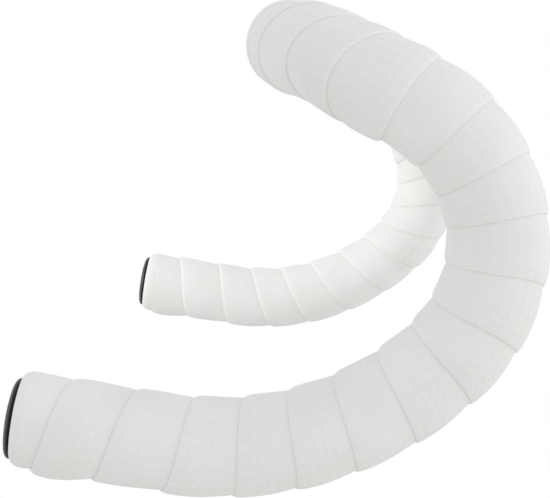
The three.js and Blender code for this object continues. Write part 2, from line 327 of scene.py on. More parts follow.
class Sheet:
    """A node tree, with short ways to add nodes and join them."""

    def __init__(self, tree: bpy.types.NodeTree) -> None:
        """Starts from an empty tree."""
        self.tree = tree
        tree.nodes.clear()

    def put(self, node: bpy.types.Node, name: Union[str, int], value: Socket) -> None:
        """Joins a socket to an input, or sets the input's value."""
        if isinstance(value, bpy.types.NodeSocket):
            self.tree.links.new(value, node.inputs[name])
        else:
            node.inputs[name].default_value = value

    def add(self, kind: str, inputs: dict, **settings: object) -> bpy.types.Node:
        """Adds a node.

        Args:
            kind: The node's type, without its ShaderNode.
            inputs: What goes into its sockets, by name or number.
            settings: The node's properties.

        Returns:
            The node.
        """
        node = self.tree.nodes.new("ShaderNode" + kind)
        for name, value in settings.items():
            setattr(node, name, value)
        for name, value in inputs.items():
            self.put(node, name, value)
        return node

    def math(self, operation: str, a: Socket, b: Socket = 0.0, c: Socket = 0.0) -> Socket:
        """The result of a sum of up to three values."""
        return self.add("Math", {0: a, 1: b, 2: c}, operation=operation).outputs[0]

    def ease(self, value: Socket, low: float, high: float, start: float, end: float) -> Socket:
        """A value that eases from start to end as another goes from low to high."""
        inputs = {"Value": value, "From Min": low, "From Max": high}
        inputs.update({"To Min": start, "To Max": end})
        return self.add("MapRange", inputs, interpolation_type="SMOOTHSTEP").outputs[0]

    def mix(self, share: Socket, a: Socket, b: Socket, blend: str = "MIX") -> Socket:
        """Two colours mixed."""
        node = self.add("Mix", {}, data_type="RGBA", blend_type=blend)
        for index, value in ((0, share), (6, a), (7, b)):
            self.put(node, index, value)
        return node.outputs[2]

    def noise(self, vector: Socket, scale: float, detail: float = 2.0) -> Socket:
        """Smooth noise from 0 to 1."""
        inputs = {"Vector": vector, "Scale": scale, "Detail": detail}
        return self.add("TexNoise", inputs).outputs[0]

    def stretched(self, vector: Socket, scale: Sequence[float]) -> Socket:
        """A vector scaled by a different amount on each axis."""
        inputs = {"Vector": vector, "Scale": tuple(scale)}
        return self.add("Mapping", inputs).outputs[0]

    def lean(self, vector: Socket, towards: Sequence[float]) -> Socket:
        """How far a vector goes in a direction."""
        node = self.add("VectorMath", {0: vector, 1: tuple(towards)}, operation="DOT_PRODUCT")
        return node.outputs["Value"]

    def object_coordinates(self) -> Socket:
        """The place on the object, in metres."""
        return self.add("TexCoord", {}).outputs["Object"]

    def group(self, tree: bpy.types.NodeTree, inputs: dict) -> bpy.types.Node:
        """Places a node group."""
        node = self.tree.nodes.new("ShaderNodeGroup")
        node.node_tree = tree
        for name, value in inputs.items():
            self.put(node, name, value)
        return node


def new_group(name: str, inputs: Sequence[tuple[str, str, Union[float, tuple]]],
              outputs: Sequence[str]) -> tuple[Sheet, bpy.types.Node]:
    """A new shader node group with float outputs.

    Args:
        name: The group's name.
        inputs: Each input's name, kind of socket and value.
        outputs: Each output's name.

    Returns:
        The group's sheet, and the node that its inputs come from.
    """
    tree = bpy.data.node_groups.new(name, "ShaderNodeTree")
    sheet = Sheet(tree)
    for label, kind, value in inputs:
        socket = tree.interface.new_socket(label, in_out="INPUT", socket_type="NodeSocket" + kind)
        socket.default_value = value
    for label in outputs:
        tree.interface.new_socket(label, in_out="OUTPUT", socket_type="NodeSocketFloat")
    return sheet, tree.nodes.new("NodeGroupInput")


class SharedEffects:
    """The node groups that several finishes use, each built once."""

    def __init__(self) -> None:
        """Builds the groups."""
        self.dots = self._embossed_dots()
        self.grain = self._fine_grain()
        self.handling = self._handling()

    @staticmethod
    def _embossed_dots() -> bpy.types.NodeTree:
        """Rows of low round dots, pressed up from a strip."""
        sheet, given = new_group(
            "embossed_dots",
            [
                ("Strip", "Vector", (0.0, 0.0, 0.0)),
                ("Along", "Float", 1.0),
                ("Across", "Float", 1.0),
                ("Radius", "Float", 0.3),
            ],
            ["Height", "Dot"],
        )
        split = sheet.add("SeparateXYZ", {0: given.outputs["Strip"]})
        offsets = []
        cells = []
        for axis, pitch in ((0, "Along"), (1, "Across")):
            scaled = sheet.math("DIVIDE", split.outputs[axis], given.outputs[pitch])
            cells.append(sheet.math("FLOOR", scaled))
            centred = sheet.math("SUBTRACT", sheet.math("FRACT", scaled), 0.5)
            offsets.append(sheet.math("MULTIPLY", centred, given.outputs[pitch]))
        squares = [sheet.math("MULTIPLY", o, o) for o in offsets]
        reach = sheet.math("SQRT", sheet.math("ADD", *squares))
        share = sheet.math("DIVIDE", reach, given.outputs["Radius"])
        cell = sheet.add("CombineXYZ", {0: cells[0], 1: cells[1]}).outputs[0]
        chance = sheet.add("TexWhiteNoise", {"Vector": cell}, noise_dimensions="2D").outputs[0]
        crown_slope = (0.45, 1.2)
        dimple_slope = (0.0, 0.6)
        dimple_depth = 0.3
        tone_slope = (0.5, 1.15)
        lowest_dot = 0.6
        faintest_dot = 0.5
        crown = sheet.ease(share, *crown_slope, 1.0, 0.0)
        dimple = sheet.ease(share, *dimple_slope, dimple_depth, 0.0)
        dimpled = sheet.math("SUBTRACT", crown, dimple)
        height = sheet.math("MULTIPLY", dimpled, sheet.ease(chance, 0.0, 1.0, lowest_dot, 1.0))
        out = sheet.tree.nodes.new("NodeGroupOutput")
        sheet.put(out, "Height", height)
        # Dot marks a dot's top: the tape paints shade between the dots, not on them, and makes the
        # dots smoother.
        pale = sheet.ease(share, *tone_slope, 1.0, 0.0)
        faint = sheet.ease(chance, 0.0, 1.0, faintest_dot, 1.0)
        sheet.put(out, "Dot", sheet.math("MULTIPLY", pale, faint))
        return sheet.tree

    @staticmethod
    def _fine_grain() -> bpy.types.NodeTree:
        """A fine irregular grain, as on moulded plastic or coated foam."""
        sheet, given = new_group(
            "fine_grain",
            [("Vector", "Vector", (0.0, 0.0, 0.0)), ("Scale", "Float", 1000.0)],
            ["Height", "Mask"],
        )
        vector, scale = given.outputs["Vector"], given.outputs["Scale"]
        cells = sheet.add("TexVoronoi", {"Vector": vector, "Scale": scale}).outputs["Distance"]
        soft = sheet.noise(vector, scale, 3.0)
        cell_height = 0.6
        mask_slope = (0.35, 0.65)
        out = sheet.tree.nodes.new("NodeGroupOutput")
        sheet.put(out, "Height", sheet.math("MULTIPLY_ADD", cells, cell_height, soft))
        sheet.put(out, "Mask", sheet.ease(soft, *mask_slope, 0.0, 1.0))
        return sheet.tree

    @staticmethod
    def _handling() -> bpy.types.NodeTree:
        """Broad and small patches that handling leaves."""
        sheet, given = new_group(
            "handling",
            [
                ("Vector", "Vector", (0.0, 0.0, 0.0)),
                ("Broad", "Float", 20.0),
                ("Small", "Float", 200.0),
            ],
            ["Patches", "Marks"],
        )
        vector = given.outputs["Vector"]
        broad = sheet.noise(vector, given.outputs["Broad"], 2.0)
        small = sheet.noise(vector, given.outputs["Small"], 4.0)
        patch_slope = (0.3, 0.7)
        mark_slope = (0.55, 0.8)
        out = sheet.tree.nodes.new("NodeGroupOutput")
        sheet.put(out, "Patches", sheet.ease(broad, *patch_slope, 0.0, 1.0))
        marked = sheet.math("MULTIPLY", broad, sheet.ease(small, *mark_slope, 0.0, 1.0))
        sheet.put(out, "Marks", marked)
        return sheet.tree


def new_material(name: str) -> tuple[Sheet, bpy.types.Node]:
    """A material with a Principled BSDF.

    Args:
        name: The material's name.

    Returns:
        Its sheet and the Principled BSDF.
    """
    material = bpy.data.materials.new(name)
    material.use_nodes = True
    sheet = Sheet(material.node_tree)
    shader = sheet.add("BsdfPrincipled", {})
    out = sheet.add("OutputMaterial", {})
    sheet.put(out, "Surface", shader.outputs[0])
    return sheet, shader


def material_of(name: str) -> bpy.types.Material:
    """The material with a name."""
    return bpy.data.materials[name]


@dataclass(frozen=True)
class TapeFinish:
    """White coated foam, embossed with low dots in rows along the strip. Shade is painted between
    the dots and in the creases between turns, and a highlight is painted on the turns' edges.
    """

    name: str = "white_padded_tape"
    colour: tuple = (0.838, 0.832, 0.821, 1)
    shade: tuple = (0.81, 0.802, 0.789, 1)
    # hollow: painted shade between the raised dots.
    hollow: tuple = (0.978, 0.977, 0.975, 1)
    # crease: painted shade in the creases between turns.
    crease: tuple = (0.79, 0.78, 0.765, 1)
    # edge: a painted highlight on the turns' edges.
    edge: tuple = (0.855, 0.85, 0.84, 1)
    dot_along: float = 3.9 * MM
    dot_across: float = 3.3 * MM
    dot_radius: float = 1.35 * MM
    dot_height: float = 0.12 * MM
    wear_scale: float = 45.0
    wear_slope: tuple = (0.3, 0.6)
    least_wear: float = 0.35
    patch_scale: float = 38.0
    mark_scale: float = 420.0
    mark_share: float = 0.18
    deepest_crease: float = 0.7
    edge_highlight_fade: float = -0.1
    grain_scale: float = 2600.0
    grain_depth: float = 0.02 * MM
    roughness: tuple = (0.5, 0.62)
    gloss: float = 0.22

    def make(self, effects: SharedEffects) -> bpy.types.Material:
        """Builds the material.

        Args:
            effects: The shared node groups.

        Returns:
            The material.
        """
        sheet, shader = new_material(self.name)
        strip = sheet.add("UVMap", {}, uv_map=TapeWrap.strip_map).outputs[0]
        place_on = sheet.object_coordinates()
        dot_inputs = {"Strip": strip, "Along": self.dot_along, "Across": self.dot_across}
        dots = sheet.group(effects.dots, {**dot_inputs, "Radius": self.dot_radius})
        grain = sheet.group(effects.grain, {"Vector": place_on, "Scale": self.grain_scale})
        patches = {"Vector": place_on, "Broad": self.patch_scale, "Small": self.mark_scale}
        marks = sheet.group(effects.handling, patches)
        crease = sheet.add("Attribute", {}, attribute_name=TapeWrap.crease_map).outputs["Fac"]
        tone = sheet.mix(marks.outputs["Patches"], self.colour, self.shade)
        cloud = sheet.noise(place_on, self.wear_scale)
        worn = sheet.ease(cloud, *self.wear_slope, self.least_wear, 1.0)
        # Painted shade between the raised dots, fainter where wear has flattened them.
        between = sheet.math("SUBTRACT", 1.0, dots.outputs["Dot"])
        tone = sheet.mix(sheet.math("MULTIPLY", between, worn), tone, self.hollow, "MULTIPLY")
        marked = sheet.math("MULTIPLY", marks.outputs["Marks"], self.mark_share)
        tone = sheet.mix(marked, tone, self.shade)
        # Painted shade in the creases between turns and a painted highlight on the turns' edges,
        # both read from the crease attribute.
        deep = sheet.ease(crease, 0.0, self.deepest_crease, 0.0, 1.0)
        tone = sheet.mix(sheet.ease(crease, -1.0, self.edge_highlight_fade, 1.0, 0.0), tone, self.edge)
        sheet.put(shader, "Base Color", sheet.mix(deep, tone, self.crease))
        rough = sheet.ease(dots.outputs["Dot"], 0.0, 1.0, self.roughness[1], self.roughness[0])
        sheet.put(shader, "Roughness", rough)
        flattened = sheet.math("MULTIPLY", sheet.math("SUBTRACT", 1.0, deep), worn)
        raised = sheet.math("MULTIPLY", dots.outputs["Height"], flattened)
        share = self.grain_depth / self.dot_height
        height = sheet.math("MULTIPLY_ADD", grain.outputs["Height"], share, raised)
        bump = sheet.add("Bump", {"Height": height, "Distance": self.dot_height, "Strength": 1.0})
        sheet.put(shader, "Normal", bump.outputs[0])
        sheet.put(shader, "Specular IOR Level", self.gloss)
        return material_of(self.name)


@dataclass(frozen=True)
class PlugFinish:
    """Dark moulded plastic with a fine spark-eroded grain; its rim is painted darker as shade
    beside the tape, and is smoother and less glossy.
    """

    name: str = "dark_moulded_plastic"
    colour: tuple = (0.052, 0.052, 0.052, 1)
    rim_shade: tuple = (0.006, 0.006, 0.006, 1)
    worn: tuple = (0.13, 0.13, 0.128, 1)
    patch_scale: float = 90.0
    mark_scale: float = 900.0
    worn_share: float = 0.7
    roughness: tuple = (0.4, 0.5)
    rim_smoothness: float = -0.12
    gloss: float = 0.5
    rim_gloss: float = 0.15
    grain_scale: float = 3200.0
    grain_depth: float = 0.03 * MM
    grain_strength: float = 0.5

    def make(self, effects: SharedEffects) -> bpy.types.Material:
        """Builds the material from the shared node groups."""
        sheet, shader = new_material(self.name)
        place_on = sheet.object_coordinates()
        grain = sheet.group(effects.grain, {"Vector": place_on, "Scale": self.grain_scale})
        patches = {"Vector": place_on, "Broad": self.patch_scale, "Small": self.mark_scale}
        marks = sheet.group(effects.handling, patches)
        rim = sheet.add("Attribute", {}, attribute_name=EndPlug.rim_map).outputs["Fac"]
        worn = sheet.math("MULTIPLY", marks.outputs["Marks"], self.worn_share)
        tone = sheet.mix(worn, self.colour, self.worn)
        # The rim and what lies under it are painted near black: painted shade beside the tape.
        sheet.put(shader, "Base Color", sheet.mix(rim, tone, self.rim_shade))
        plain = sheet.ease(marks.outputs["Patches"], 0.0, 1.0, *self.roughness)
        smoothed = sheet.math("MULTIPLY_ADD", rim, self.rim_smoothness, plain)
        sheet.put(shader, "Roughness", smoothed)
        sheen = sheet.ease(rim, 0.0, 1.0, self.gloss, self.rim_gloss)
        sheet.put(shader, "Specular IOR Level", sheen)
        relief = {"Height": grain.outputs["Height"], "Distance": self.grain_depth}
        bump = sheet.add("Bump", {**relief, "Strength": self.grain_strength})
        sheet.put(shader, "Normal", bump.outputs[0])
        return material_of(self.name)


@dataclass(frozen=True)
class AlloyFinish:
    """Black anodised alloy, drawn lengthwise, with a blasted clamp zone."""

    name: str = "black_anodised_alloy"
    colour: tuple = (0.02, 0.021, 0.024, 1)
    blasted: tuple = (0.055, 0.056, 0.06, 1)
    zone_half: float = 30 * MM
    zone_edge: float = 0.4 * MM
    grain_scale: float = 5200.0
    grain_depth: float = 0.012 * MM

    def make(self, effects: SharedEffects) -> bpy.types.Material:
        """Builds the material from the shared node groups."""
        sheet, shader = new_material(self.name)
        place_on = sheet.object_coordinates()
        split = sheet.add("SeparateXYZ", {0: place_on})
        from_middle = sheet.math("ABSOLUTE", split.outputs[0])
        low, high = self.zone_half - self.zone_edge, self.zone_half + self.zone_edge
        zone = sheet.ease(from_middle, low, high, 1.0, 0.0)
        drawn = sheet.noise(sheet.stretched(place_on, (60, 2600, 2600)), 1.0, 3.0)
        grain = sheet.group(effects.grain, {"Vector": place_on, "Scale": self.grain_scale})
        marks = sheet.group(effects.handling, {"Vector": place_on, "Broad": 45.0, "Small": 700.0})
        tone = sheet.mix(zone, self.colour, self.blasted)
        faded = sheet.math("MULTIPLY", marks.outputs["Marks"], 0.5)
        sheet.put(shader, "Base Color", sheet.mix(faded, tone, self.blasted))
        plain = sheet.math("MULTIPLY_ADD", drawn, 0.18, 0.26)
        rough = sheet.math("MULTIPLY_ADD", zone, 0.24, plain)
        sheet.put(shader, "Roughness", rough)
        blasted = sheet.math("MULTIPLY", grain.outputs["Height"], zone)
        height = sheet.math("MULTIPLY_ADD", drawn, 0.3, blasted)
        bump = sheet.add("Bump", {"Height": height, "Distance": self.grain_depth, "Strength": 1.0})
        sheet.put(shader, "Normal", bump.outputs[0])
        sheet.put(shader, "Metallic", 0.75)
        return material_of(self.name)


@dataclass(frozen=True)
class BandFinish:
    """Thin black vinyl, stretched round the bar as it was wound."""

    name: str = "black_vinyl"
    colour: tuple = (0.012, 0.012, 0.013, 1)
    pale: tuple = (0.035, 0.035, 0.037, 1)

    def make(self, effects: SharedEffects) -> bpy.types.Material:
        """Builds the material from the shared node groups."""
        sheet, shader = new_material(self.name)
        place_on = sheet.object_coordinates()
        pulled = sheet.noise(sheet.stretched(place_on, (900, 70, 70)), 1.0, 3.0)
        marks = sheet.group(effects.handling, {"Vector": place_on, "Broad": 80.0, "Small": 600.0})
        tone = sheet.mix(marks.outputs["Marks"], self.colour, self.pale)
        sheet.put(shader, "Base Color", tone)
        sheet.put(shader, "Roughness", sheet.math("MULTIPLY_ADD", pulled, 0.2, 0.28))
        bump = sheet.add("Bump", {"Height": pulled, "Distance": 0.06 * MM, "Strength": 1.0})
        sheet.put(shader, "Normal", bump.outputs[0])
        return material_of(self.name)


# The pieces


@dataclass(frozen=True)
class TapeSizes:
    """The strip's own sizes, and how it lies when it is wound."""

    width: float = 30 * MM
    thickness: float = 3.4 * MM
    packing: float = 0.5
    step: float = 0.9 * MM
    crown: float = 0.35 * MM
    start_lift: float = 1.5 * MM
    start_share: float = 0.62
    start_skew: float = 0.65
    gather: float = 0.8
    corner_gather: float = 1.5
    swell: float = 0.15
    tops_draw: float = 2.7 * MM
    draw_start: float = 16 * MM
    draw_length: float = 36 * MM
    corner_press: float = 1.3 * MM
    press_start: float = 10 * MM
    tops_pad: float = 1.2 * MM
    tops_pad_start: float = 32 * MM
    corner_pad: float = 1.2 * MM
    corner_pad_start: float = 24 * MM
    corner_pad_end: float = 42 * MM
    shape_length: float = 14 * MM
    start_angle: float = math.radians(200)
    to_centre: float = 75 * MM
    roll: float = 3 * MM
    roll_drop: float = 2.3 * MM
    fold: float = 1.3 * MM
    tail: float = 22 * MM
    tail_build: float = 2.2 * MM
    tail_slope: float = 4 * MM


class WrapRow(NamedTuple):
    """One row of points across a turn's exposed width."""

    share: float  # of the exposed width
    offset: float  # beyond that share
    rise: float  # how far up the step it lies: 1 is on the turn itself
    sag: float  # how far it lies below that
    crease: float  # how deep in the crease between two turns it lies, for painted shade there: below 0 is on a turn's edge, for a painted highlight


# The last column gives painted shade in the crease above 0 and a painted highlight on the turn's
# edge below 0.
WRAP_ROWS = (
    WrapRow(0, 0, 0, 0.04 * MM, 0.6),
    WrapRow(0, 0.09 * MM, 0.28, 0, 0.3),
    WrapRow(0, 0.24 * MM, 0.48, 0, -0.7),
    WrapRow(0, 0.50 * MM, 0.62, 0, -0.7),
    WrapRow(0, 1.0 * MM, 0.77, 0, 0.0),
    WrapRow(0, 2.1 * MM, 0.97, 0, 0.0),
    WrapRow(0.28, 0, 1, 0, 0.0),
    WrapRow(0.42, 0, 1, 0, 0.0),
    WrapRow(0.56, 0, 1, 0, 0.0),
    WrapRow(0.70, 0, 1, 0, 0.0),
    WrapRow(0.84, 0, 1, 0, 0.0),
    WrapRow(1, -0.90 * MM, 1, 0.03 * MM, 0.15),
    WrapRow(1, -0.22 * MM, 1, 0.06 * MM, 0.45),
)


def waver(values: np.ndarray, rates: Sequence[float], phase: float) -> np.ndarray:
    """A smooth irregular wave from about -1 to 1.

    Args:
        values: Where along the wave each result lies.
        rates: The rates of the sine waves that are added up.
        phase: Where the waves start.

    Returns:
        The wave.
    """
    waves = [np.sin(values * rate + phase * (i + 1) ** 2) for i, rate in enumerate(rates)]
    return np.mean(waves, axis=0)


def smoothstep(values: np.ndarray, low: float, high: float) -> np.ndarray:
    """Eases from 0 to 1 as the values go from low to high."""
    t = np.clip((values - low) / (high - low), 0, 1)
    return t * t * (3 - 2 * t)


class MeshParts:
    """Collects a mesh's points, faces, strip coordinates and crease values."""

    def __init__(self) -> None:
        """Starts empty."""
        self.points: list[np.ndarray] = []
        self.creases: list[np.ndarray] = []
        self.count = 0
        self.faces: list[tuple[int, ...]] = []
        self.strips: list[tuple[float, float]] = []

    def add_points(self, points: np.ndarray, crease: Union[float, np.ndarray]) -> np.ndarray:
        """Adds points and returns their numbers."""
        self.points.append(points)
        self.creases.append(np.broadcast_to(crease, len(points)))
        self.count += len(points)
        return np.arange(self.count - len(points), self.count)

    def add_face(self, corners: Sequence[int], strips: Sequence[tuple[float, float]]) -> None:
        """Adds a face, without the corners that repeat the one before."""
        kept = [i for i in range(len(corners)) if corners[i] != corners[i - 1]]
        if len({corners[i] for i in kept}) < 3:
            return
        self.faces.append(tuple(int(corners[i]) for i in kept))
        self.strips.extend(strips[i] for i in kept)

    def bridge(self, lower: np.ndarray, upper: np.ndarray, strip_low: float,
               strip_high: float, strip_around: float) -> None:
        """Joins two rings with faces.

        Args:
            lower: The point numbers of one ring.
            upper: The point numbers of the other.
            strip_low: The strip coordinate across, at the first ring.
            strip_high: The same at the other.
            strip_around: The length once round the ring.
        """
        count = len(lower)
        for k in range(count):
            n = (k + 1) % count
            u, v = strip_around * k / count, strip_around * (k + 1) / count
            corners = (lower[k], lower[n], upper[n], upper[k])
            strips = ((u, strip_low), (v, strip_low), (v, strip_high), (u, strip_high))
            self.add_face(corners, strips)

    def build(self, name: str, side: Side, strip_map: str, crease_map: str) -> bpy.types.Object:
        """Makes the object.

        Args:
            name: The object's name.
            side: The points are those of the right side, and are mirrored for the left.
            strip_map: The name of the UV map.
            crease_map: The name of the crease attribute.

        Returns:
            The object.
        """
        points = np.concatenate(self.points) * np.array([side.value, 1, 1])
        mesh = bpy.data.meshes.new(name)
        mesh.from_pydata(points.tolist(), [], self.faces)
        uv = mesh.uv_layers.new(name=strip_map)
        uv.data.foreach_set("uv", np.array(self.strips, dtype=np.float32).ravel())
        crease = mesh.attributes.new(crease_map, "FLOAT", "POINT")
        crease.data.foreach_set("value", np.concatenate(self.creases).astype(np.float32))
        if signed_volume(mesh) < 0:
            mesh.flip_normals()
        mesh.shade_smooth()
        piece = bpy.data.objects.new(name, mesh)
        bpy.context.scene.collection.objects.link(piece)
        return piece


def signed_volume(mesh: bpy.types.Mesh) -> float:
    """Six times the volume that a closed mesh's faces wind round, negative if they face in."""
    mesh.calc_loop_triangles()
    corners = np.empty(len(mesh.loop_triangles) * 3, dtype=np.int32)
    mesh.loop_triangles.foreach_get("vertices", corners)
    places = np.empty(len(mesh.vertices) * 3)
    mesh.vertices.foreach_get("co", places)
    a, b, c = places.reshape(-1, 3)[corners.reshape(-1, 3)].transpose(1, 0, 2)
    return float((a * np.cross(b, c)).sum())


@dataclass
class TapeWrap:
    """The tape of one side, wound as overlapping turns from the bar's end to the tops."""

    side: Side
    line: BarLine
    pitches: dict[Leg, float]
    sizes: TapeSizes = field(default_factory=TapeSizes)
    columns: int = 120
    near_ring: float = 0.25 * MM
    hand_drift: float = 1.6 * MM
    drift_rates: tuple = (0.09, 0.17, 0.29)
    edge_waver: float = 0.22 * MM
    edge_rates: tuple = (0.83, 1.71, 3.13)
    skin_waver: float = 0.10 * MM
    skin_rates: tuple = (1.0, 2.3, 3.7)
    skin_climb: float = 1.9
    skin_spread: float = 2.3
    skin_phase: float = 0.7
    seat: float = 0.3 * MM
    pleat_depth: float = 0.14 * MM
    strip_map = "strip"
    # The crease attribute carries the painted shade in the creases and the painted highlight on the
    # turns' edges.
    crease_map = "crease"

    def __post_init__(self) -> None:
        """Works out where the turns start and end."""
        sizes = self.sizes
        self.name = f"wound_tape_{self.side.word}"
        self.end = self.line.length - sizes.to_centre
        self.low = sizes.roll
        self.high = self.end - sizes.tail - sizes.tail_slope
        self.pitch = np.array([self.pitches[leg] for leg in Leg])
        turns = FULL_TURN * self.line.lengths / self.pitch
        start = sizes.start_angle - FULL_TURN
        self.knots = start + np.concatenate([[0], np.cumsum(turns)])
        self.bore = self.line.sizes.radius + self.seat

    def _bends(self, distances: np.ndarray, turns: np.ndarray) -> tuple[np.ndarray, np.ndarray]:
        """How much each kind of bend shortens the wrap's surface at each place.

        Args:
            distances: How far from the bar's end each place is.
            turns: The turn's angle there.

        Returns:
            The shares that the drop's bends and the corner take off.
        """
        span = self.sizes.width / 2
        surface = self.line.sizes.radius + self.sizes.thickness / 2
        up = self.line.average(distances, self.line.up, span) * np.sin(turns)
        inward = self.line.average(distances, self.line.inward, span) * -np.cos(turns)
        return surface * up, surface * inward

    def stretch(self, distances: np.ndarray, turns: np.ndarray) -> np.ndarray:
        """How much longer than the centre line the wrap's surface is at each place."""
        up, inward = self._bends(distances, turns)
        return 1 - up - inward

    def edge(self, turns: np.ndarray) -> np.ndarray:
        """How far from the bar's end the exposed edge is, after turning so far.

        The edge lies half a tape's width from the tape's middle, so it crowds together on the
        inside of a bend and spreads on the outside. On top of that it drifts and wavers, as a
        strip wound by hand does.
        """
        legs = np.clip(np.searchsorted(self.knots, turns, side="right") - 1, 0, len(Leg) - 1)
        climb = (turns - self.knots[legs]) * self.pitch[legs] / FULL_TURN
        base = self.line.starts[legs] + climb
        distance = base
        for _ in range(6):
            up, inward = self._bends(distance, turns)
            pull = self.sizes.gather * (1 / (1 - up) - 1)
            pull = pull + self.sizes.corner_gather * (1 / (1 - inward) - 1)
            distance = base - self.sizes.width / 2 * pull
        drift = self.hand_drift * waver(turns, self.drift_rates, self.side.value)
        return distance + drift + self.edge_waver * waver(turns, self.edge_rates, 1.0)

    def _start_lift(self, turns: np.ndarray, shares: np.ndarray) -> np.ndarray:
        """How much the tape's doubled start lifts the first turn."""
        sizes = self.sizes
        progress = np.clip((turns - self.knots[0]) / FULL_TURN / sizes.start_share, 0, 1)
        hump = np.sin(np.pi * np.clip(shares, 0, 1) ** sizes.start_skew)
        return sizes.start_lift * hump * np.sin(np.pi * progress)

    def _hand_shape(self, distance: np.ndarray, turns: np.ndarray) -> np.ndarray:
        """How the wrap is padded on the corner, pressed in under it and padded under the tops."""
        sizes = self.sizes
        past = distance - self.line.starts[Leg.RAMP.value]

        def rise(start: float) -> np.ndarray:
            """Eases from 0 to 1 past a place on the corner."""
            return smoothstep(past, start, start + sizes.shape_length)

        above = sizes.corner_pad * (rise(sizes.corner_pad_start) - rise(sizes.corner_pad_end))
        below = (sizes.corner_press + sizes.tops_pad) * rise(sizes.tops_pad_start)
        below = below - sizes.corner_press * rise(sizes.press_start)
        return np.where(np.sin(turns) < 0, above, below) * np.sin(turns) ** 2

    def radius(self, turns: np.ndarray, shares: np.ndarray) -> np.ndarray:
        """The wrap's radius in a turn, at a share of the way from its edge to the next one."""
        sizes = self.sizes
        low, high = self.edge(turns), self.edge(turns + FULL_TURN)
        distance = low + (high - low) * shares
        layers = sizes.width / self.line.average(distance, self.pitch, sizes.width / 2)
        build = sizes.thickness * layers**sizes.packing
        build = build * self.stretch(distance, turns) ** -sizes.swell
        step = sizes.step * (0.5 - shares) + sizes.crown * np.sin(np.pi * shares)
        shape = self._start_lift(turns, shares) + self._hand_shape(distance, turns)
        start = self.line.starts[Leg.CORNER.value] + sizes.draw_start
        draw = sizes.tops_draw * smoothstep(distance, start, start + sizes.draw_length)
        across = turns * self.skin_climb + shares * self.skin_spread
        skin = waver(across, self.skin_rates, self.skin_phase * self.side.value)
        swelling = self.skin_waver * skin * np.sin(np.pi * np.clip(shares, 0, 1))
        return self.line.sizes.radius + build + step + shape - draw + swelling

    def _ring_radius(self, angles: np.ndarray, distance: float) -> np.ndarray:
        """The wrap's radius all round the bar at one distance."""
        radii = np.empty_like(angles)
        for k, angle in enumerate(angles):
            first = math.floor(self.knots[0] / FULL_TURN) - 1
            last = math.ceil(self.knots[-1] / FULL_TURN) + 1
            turns = angle + FULL_TURN * np.arange(first, last + 1)
            edges = self.edge(turns)
            i = int(np.clip(np.searchsorted(edges, distance, side="right") - 1, 0, len(edges) - 2))
            share = (distance - edges[i]) / (edges[i + 1] - edges[i])
            radii[k] = self.radius(turns[i : i + 1], np.array([share]))[0]
        return radii

    def _ring(self, parts: MeshParts, distance: float, radii: Union[float, np.ndarray],
              crease: float = 0.0) -> np.ndarray:
        """Adds a ring of points round the bar and returns their numbers."""
        angles = FULL_TURN * np.arange(self.columns) / self.columns
        distances = np.full(self.columns, distance)
        places = self.line.points(distances, angles, np.broadcast_to(radii, self.columns))
        return parts.add_points(places, crease)

    def _wind(self, parts: MeshParts, low_ring: np.ndarray, high_ring: np.ndarray) -> None:
        """Adds the turns between the two rings.

        Each column of points follows the strip, and what would pass a ring is gathered on it.

        Args:
            parts: The mesh.
            low_ring: The ring near the bar's end.
            high_ring: The ring where the wrap comes down to its trimmed last turn.
        """
        n = self.columns
        first = -2 * n
        last = math.ceil(self.knots[-1] / FULL_TURN * n) + n
        columns = np.arange(first, last + n + 1)
        turns = FULL_TURN * columns / n
        edges = self.edge(turns)
        widths = self.edge(turns + FULL_TURN) - edges
        foot = self.radius(turns - FULL_TURN, np.ones_like(turns))
        numbers = np.empty((len(columns), len(WRAP_ROWS)), dtype=int)
        across = np.empty_like(numbers, dtype=float)
        for r, row in enumerate(WRAP_ROWS):
            shares = row.share + row.offset / widths
            distances = edges + widths * shares
            top = self.radius(turns, shares)
            radii = foot + (top - foot) * row.rise - row.sag
            numbers[:, r] = -1
            below = distances < self.low + self.near_ring
            above = distances > self.high - self.near_ring
            numbers[below, r] = low_ring[columns[below] % n]
            numbers[above, r] = high_ring[columns[above] % n]
            free = ~(below | above)
            places = self.line.points(distances[free], turns[free], radii[free])
            numbers[free, r] = parts.add_points(places, row.crease)
            held = np.clip(distances, self.low, self.high)
            across[:, r] = (held - edges) * self.stretch(distances, turns)
        around = (self.line.sizes.radius + self.sizes.thickness) * turns
        rows = len(WRAP_ROWS)
        for c in range(last - first):
            for r in range(rows):
                if r + 1 < rows:
                    ends = (numbers[c + 1, r + 1], numbers[c, r + 1])
                    tops = (across[c + 1, r + 1], across[c, r + 1])
                else:
                    ends = (numbers[c + 1 + n, 0], numbers[c + n, 0])
                    tops = tuple(
                        widths[i] * self.stretch(edges[i : i + 1], turns[i : i + 1])[0]
                        for i in (c + 1, c)
                    )
                corners = (numbers[c, r], numbers[c + 1, r], *ends)
                if len(set(corners)) < 3:
                    continue
                strips = (
                    (around[c], across[c, r]),
                    (around[c + 1], across[c + 1, r]),
                    (around[c + 1], tops[0]),
                    (around[c], tops[1]),
                )
                parts.add_face(corners, strips)

    def _roll(self, parts: MeshParts, angles: np.ndarray, rim: np.ndarray) -> list[np.ndarray]:
        """Adds the rings that round over the bar's end, in small pleats under the plug."""
        drop = self.low + self.sizes.fold
        pleats = waver(angles, (11, 17, 26, 31), 2.1 + self.side.value)
        rings = []
        steps = 8
        for i in range(steps, 0, -1):
            bend = math.pi / 2 * i / steps
            fall = self.sizes.roll_drop * (1 - math.cos(bend))
            folded = self.pleat_depth * pleats * math.sin(bend) ** 2
            distance = self.low - drop * math.sin(bend)
            rings.append(self._ring(parts, distance, rim - fall + folded))
        return rings

